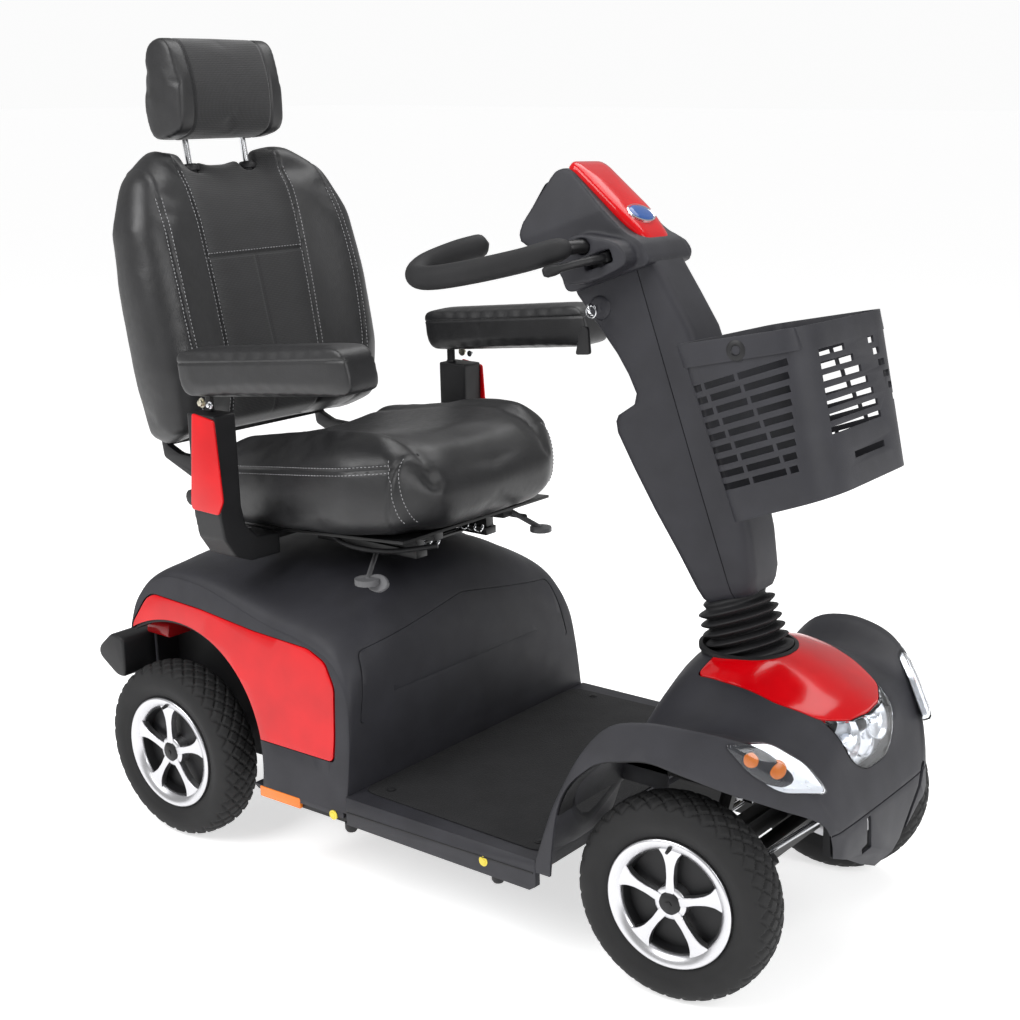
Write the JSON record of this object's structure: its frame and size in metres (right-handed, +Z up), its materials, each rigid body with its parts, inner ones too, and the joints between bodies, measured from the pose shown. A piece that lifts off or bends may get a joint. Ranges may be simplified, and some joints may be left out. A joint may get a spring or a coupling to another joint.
{
  "type": "mobility scooter",
  "caption": "Four-wheel mobility scooter with a swivelling padded seat, raked tiller with loop handlebars, front basket, flat deck and moulded covers.",
  "frame": {"origin": "on the ground, in the middle of the overall length and width", "axes": "+X forward, +Y to the rider's left, +Z up"},
  "size_m": [1.48, 0.696, 1.4209],
  "materials": {
    "charcoal": "fine matt texture",
    "black": "satin",
    "red": "gloss",
    "steel": "bright",
    "frame": "satin black",
    "rubber": "matt",
    "tyre": "matt",
    "rim": "machined",
    "upholstery": "soft grain",
    "clear": "clear gloss",
    "amber": "gloss",
    "silver": "cast"
  },
  "bodies": {
    "chassis": {"chassis_frame": "frame", "transaxle": "silver", "battery_right": "black", "battery_left": "black", "floor_deck": "charcoal", "rear_cover": "charcoal", "side_panel_right": "red", "side_panel_left": "red", "rear_bumper": "black", "side_reflector_right": "amber", "side_reflector_left": "amber", "front_shroud": "charcoal", "hood_panel": "red", "headlight": "clear", "indicator_right": "clear", "indicator_left": "clear"},
    "steering": {"steering_stem": "frame", "bellows": "rubber"},
    "tiller": {"tiller_cover_front": "charcoal", "tiller_cover_rear": "charcoal", "tiller_mast": "frame", "tiller_head": "charcoal", "head_panel": "red", "handlebar_right": "frame", "handlebar_left": "frame", "grip_right": "rubber", "grip_left": "rubber"},
    "dial": {"speed_dial": "black"},
    "horn": {"horn_button": "black"},
    "key": {"ignition_key": "steel"},
    "thumb_right": {"throttle_lever_right": "black"},
    "thumb_left": {"throttle_lever_left": "black"},
    "tilt_release": {"tilt_lever": "black"},
    "carrier": {"basket": "charcoal"},
    "linkage": {"tie_rod": "steel"},
    "post": {"seat_post": "steel"},
    "swivel": {"swivel_base": "frame"},
    "swivel_release": {"swivel_lever": "silver"},
    "seat": {"seat_frame": "frame", "seat_cushion": "upholstery", "armrest_post_right": "black", "armrest_post_left": "black"},
    "slide_release": {"slide_lever": "silver"},
    "recline_release": {"recline_lever": "black"},
    "back": {"backrest_frame": "black", "backrest_cushion": "upholstery"},
    "head_support": {"headrest_rods": "steel", "headrest_pad": "upholstery"},
    "rear_wheel_right": {"tyre_rear_right": "tyre", "rim_rear_right": "rim"},
    "front_wheel_right": {"tyre_front_right": "tyre", "rim_front_right": "rim"},
    "spindle_right": {"knuckle_right": "frame"},
    "arm_right": {"armrest_pad_right": "upholstery"},
    "rear_wheel_left": {"tyre_rear_left": "tyre", "rim_rear_left": "rim"},
    "front_wheel_left": {"tyre_front_left": "tyre", "rim_front_left": "rim"},
    "spindle_left": {"knuckle_left": "frame"},
    "arm_left": {"armrest_pad_left": "upholstery"}
  },
  "joints": [
    {"name": "steer", "type": "hinge", "parent": "chassis", "child": "steering", "pos_m": [0.48, 0, 0.5], "axis": [-0.342, 0, 0.9397], "range_deg": [-35, 24.5]},
    {"name": "tiller_tilt", "type": "hinge", "parent": "steering", "child": "tiller", "pos_m": [0.46837, 0, 0.53195], "axis": [-0.0868, 0.9957, -0.0316], "range_deg": [-4.5, 10], "deforming": ["bellows"]},
    {"name": "spindle_turn_right", "type": "hinge", "parent": "chassis", "child": "spindle_right", "pos_m": [0.526, -0.196, 0.165], "axis": [0, 0, 1], "range_deg": [-35.5, 25]},
    {"name": "front_wheel_spin_right", "type": "hinge", "parent": "spindle_right", "child": "front_wheel_right", "pos_m": [0.526, -0.196, 0.165], "axis": [-0.0924, 0.9957, 0], "continuous": true},
    {"name": "rear_wheel_spin_right", "type": "hinge", "parent": "chassis", "child": "rear_wheel_right", "pos_m": [-0.533, -0.307, 0.165], "axis": [0, 1, 0], "continuous": true},
    {"name": "spindle_turn_left", "type": "hinge", "parent": "chassis", "child": "spindle_left", "pos_m": [0.526, 0.196, 0.165], "axis": [0, 0, 1], "range_deg": [-35.5, 25]},
    {"name": "front_wheel_spin_left", "type": "hinge", "parent": "spindle_left", "child": "front_wheel_left", "pos_m": [0.526, 0.196, 0.165], "axis": [-0.0924, 0.9957, 0], "continuous": true},
    {"name": "rear_wheel_spin_left", "type": "hinge", "parent": "chassis", "child": "rear_wheel_left", "pos_m": [-0.533, 0.307, 0.165], "axis": [0, 1, 0], "continuous": true},
    {"name": "tie_rod_shift", "type": "slide", "parent": "chassis", "child": "linkage", "axis": [0, 1, 0], "range_m": [-0.0285, 0.0405]},
    {"name": "throttle_right", "type": "hinge", "parent": "tiller", "child": "thumb_right", "pos_m": [0.27764, -0.09341, 1.0872], "axis": [-0.342, 0, 0.9397], "range_deg": [-10, 10], "stiffness_Nm_per_rad": 0.4},
    {"name": "throttle_left", "type": "hinge", "parent": "tiller", "child": "thumb_left", "pos_m": [0.26132, 0.09378, 1.08126], "axis": [-0.342, 0, 0.9397], "range_deg": [-10.5, 10.5], "stiffness_Nm_per_rad": 0.4},
    {"name": "dial_turn", "type": "hinge", "parent": "tiller", "child": "dial", "pos_m": [0.11721, -0.01063, 1.16176], "axis": [-0.8634, -0.0594, 0.5009], "range_deg": [-135, 135]},
    {"name": "horn_press", "type": "slide", "parent": "tiller", "child": "horn", "axis": [-0.8634, -0.0594, 0.5009], "range_m": [-0.003, 0], "stiffness_N_per_m": 300},
    {"name": "key_turn", "type": "hinge", "parent": "tiller", "child": "key", "pos_m": [0.24078, -0.0651, 1.00461], "axis": [0.0868, -0.9957, 0.0316], "range_deg": [0, 90]},
    {"name": "tilt_release_lift", "type": "hinge", "parent": "tiller", "child": "tilt_release", "pos_m": [0.30912, -0.00573, 0.78898], "axis": [-0.0868, 0.9957, -0.0316], "range_deg": [0, 18], "stiffness_Nm_per_rad": 0.5},
    {"name": "basket_lift", "type": "slide", "parent": "tiller", "child": "carrier", "axis": [-0.342, 0, 0.9397], "range_m": [0, 0.06]},
    {"name": "post_height", "type": "slide", "parent": "chassis", "child": "post", "axis": [0, 0, 1], "range_m": [0, 0.06]},
    {"name": "seat_swivel", "type": "hinge", "parent": "post", "child": "swivel", "pos_m": [-0.27, 0, 0.54], "axis": [0, 0, 1], "range_deg": [-90, 90]},
    {"name": "seat_slide", "type": "slide", "parent": "swivel", "child": "seat", "axis": [1, 0, 0], "range_m": [-0.03, 0.05]},
    {"name": "swivel_release_turn", "type": "hinge", "parent": "swivel", "child": "swivel_release", "pos_m": [-0.23, -0.092, 0.5405], "axis": [0, 0, 1], "range_deg": [0, 15], "stiffness_Nm_per_rad": 0.5},
    {"name": "slide_release_lift", "type": "hinge", "parent": "seat", "child": "slide_release", "pos_m": [-0.1, 0.118, 0.592], "axis": [0, -1, 0], "range_deg": [0, 15], "stiffness_Nm_per_rad": 0.5},
    {"name": "recline", "type": "hinge", "parent": "seat", "child": "back", "pos_m": [-0.545, 0, 0.655], "axis": [0, 1, 0], "range_deg": [-20, 12]},
    {"name": "recline_release_lift", "type": "hinge", "parent": "seat", "child": "recline_release", "pos_m": [-0.524, -0.23, 0.66], "axis": [0, 1, 0], "range_deg": [0, 18], "stiffness_Nm_per_rad": 0.5},
    {"name": "headrest_height", "type": "slide", "parent": "back", "child": "head_support", "axis": [-0.1564, 0, 0.9877], "range_m": [0, 0.06]},
    {"name": "armrest_flip_right", "type": "hinge", "parent": "seat", "child": "arm_right", "pos_m": [-0.392, -0.31, 0.838], "axis": [0, 1, 0], "range_deg": [-77, 0]},
    {"name": "armrest_flip_left", "type": "hinge", "parent": "seat", "child": "arm_left", "pos_m": [-0.392, 0.31, 0.838], "axis": [0, 1, 0], "range_deg": [-77, 0]}
  ],
  "couplings": [
    {"joint": "spindle_turn_right", "follows": "steer", "ratio": 1},
    {"joint": "spindle_turn_left", "follows": "steer", "ratio": 1},
    {"joint": "tie_rod_shift", "follows": "steer", "m_per_rad": -0.0645},
    {"joint": "throttle_left", "follows": "throttle_right", "ratio": 1}
  ]
}
